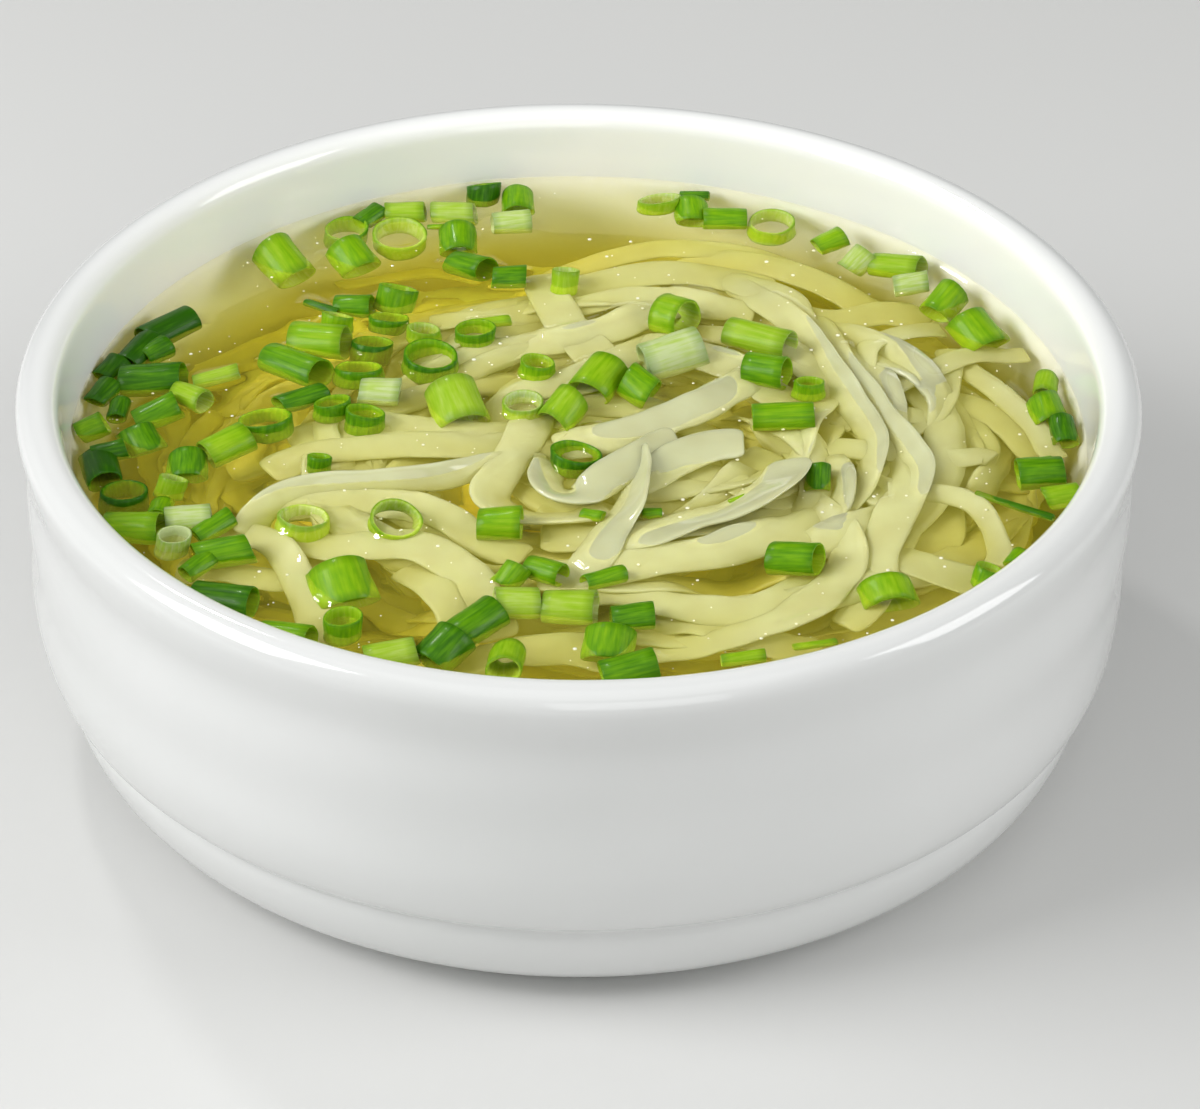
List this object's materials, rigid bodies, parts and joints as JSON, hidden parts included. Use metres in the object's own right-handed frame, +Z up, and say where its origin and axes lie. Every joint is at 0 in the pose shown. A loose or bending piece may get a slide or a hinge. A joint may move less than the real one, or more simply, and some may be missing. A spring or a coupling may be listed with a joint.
{
  "type": "bowl of noodle soup",
  "caption": "White porcelain bowl of clear noodle soup: flat wheat noodles in a pale broth, scattered with cut spring onion.",
  "frame": {"origin": "centre of the bowl's foot, on the surface that it stands on", "axes": "+Z up; +X to the right and -Y towards the viewer in the picture"},
  "size_m": [0.18, 0.18, 0.063],
  "materials": {
    "porcelain": "glossy white glaze",
    "broth": "clear thin liquid, wet, pale gold-green",
    "noodle": "wet cream-white wheat dough, slightly translucent",
    "scallion": "wet green leaf, striped lengthwise, paler towards the cut ends"
  },
  "bodies": {
    "root": {"bowl": "porcelain", "broth": "broth", "noodles": "noodle", "scallion_01": "scallion", "scallion_02": "scallion", "scallion_03": "scallion", "scallion_04": "scallion", "scallion_05": "scallion", "scallion_06": "scallion", "scallion_07": "scallion", "scallion_08": "scallion", "scallion_09": "scallion", "scallion_10": "scallion", "scallion_11": "scallion", "scallion_12": "scallion", "scallion_13": "scallion", "scallion_14": "scallion", "scallion_15": "scallion", "scallion_16": "scallion", "scallion_17": "scallion", "scallion_18": "scallion", "scallion_19": "scallion", "scallion_20": "scallion", "scallion_21": "scallion", "scallion_22": "scallion", "scallion_23": "scallion", "scallion_24": "scallion", "scallion_25": "scallion", "scallion_26": "scallion", "scallion_27": "scallion", "scallion_28": "scallion", "scallion_29": "scallion", "scallion_30": "scallion", "scallion_31": "scallion", "scallion_32": "scallion", "scallion_33": "scallion", "scallion_34": "scallion", "scallion_35": "scallion", "scallion_36": "scallion", "scallion_37": "scallion", "scallion_38": "scallion", "scallion_39": "scallion", "scallion_40": "scallion", "scallion_41": "scallion", "scallion_42": "scallion", "scallion_43": "scallion", "scallion_44": "scallion", "scallion_45": "scallion", "scallion_46": "scallion", "scallion_47": "scallion", "scallion_48": "scallion", "scallion_49": "scallion", "scallion_50": "scallion", "scallion_51": "scallion", "scallion_52": "scallion", "scallion_53": "scallion", "scallion_54": "scallion", "scallion_55": "scallion", "scallion_56": "scallion", "scallion_57": "scallion"}
  },
  "joints": []
}
